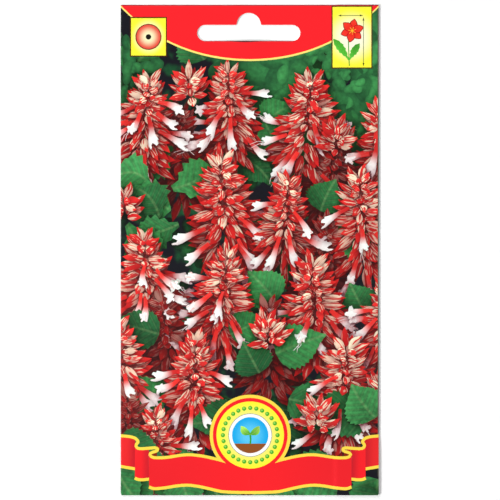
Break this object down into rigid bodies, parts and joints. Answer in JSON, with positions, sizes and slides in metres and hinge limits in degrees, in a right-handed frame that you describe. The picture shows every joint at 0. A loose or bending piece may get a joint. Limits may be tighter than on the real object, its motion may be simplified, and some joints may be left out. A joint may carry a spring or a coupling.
{
  "type": "seed packet",
  "caption": "Flat sealed paper seed packet lying on its back, with a punched hang slot in its header, a glued side seam, a folded bottom flap and loose seeds inside.",
  "frame": {"origin": "middle of the packet's length and width, on the surface that its back lies on", "axes": "+Y towards the header with the hang slot, +Z out of the printed front, +X towards the side seam"},
  "size_m": [0.08, 0.152, 0.0028],
  "materials": {
    "printed_paper": "satin coated, printed in full colour outside, bare white inside",
    "dried_glue": "clear yellowish dried dispersion glue",
    "seed_coat": "matte, dark brown"
  },
  "bodies": {
    "root": {"packet_sheet": "printed_paper", "side_seam_glue": "dried_glue", "header_glue": "dried_glue", "bottom_flap_glue": "dried_glue", "seed_01": "seed_coat", "seed_02": "seed_coat", "seed_03": "seed_coat", "seed_04": "seed_coat", "seed_05": "seed_coat", "seed_06": "seed_coat", "seed_07": "seed_coat", "seed_08": "seed_coat", "seed_09": "seed_coat", "seed_10": "seed_coat", "seed_11": "seed_coat", "seed_12": "seed_coat", "seed_13": "seed_coat", "seed_14": "seed_coat", "seed_15": "seed_coat", "seed_16": "seed_coat"}
  },
  "joints": []
}
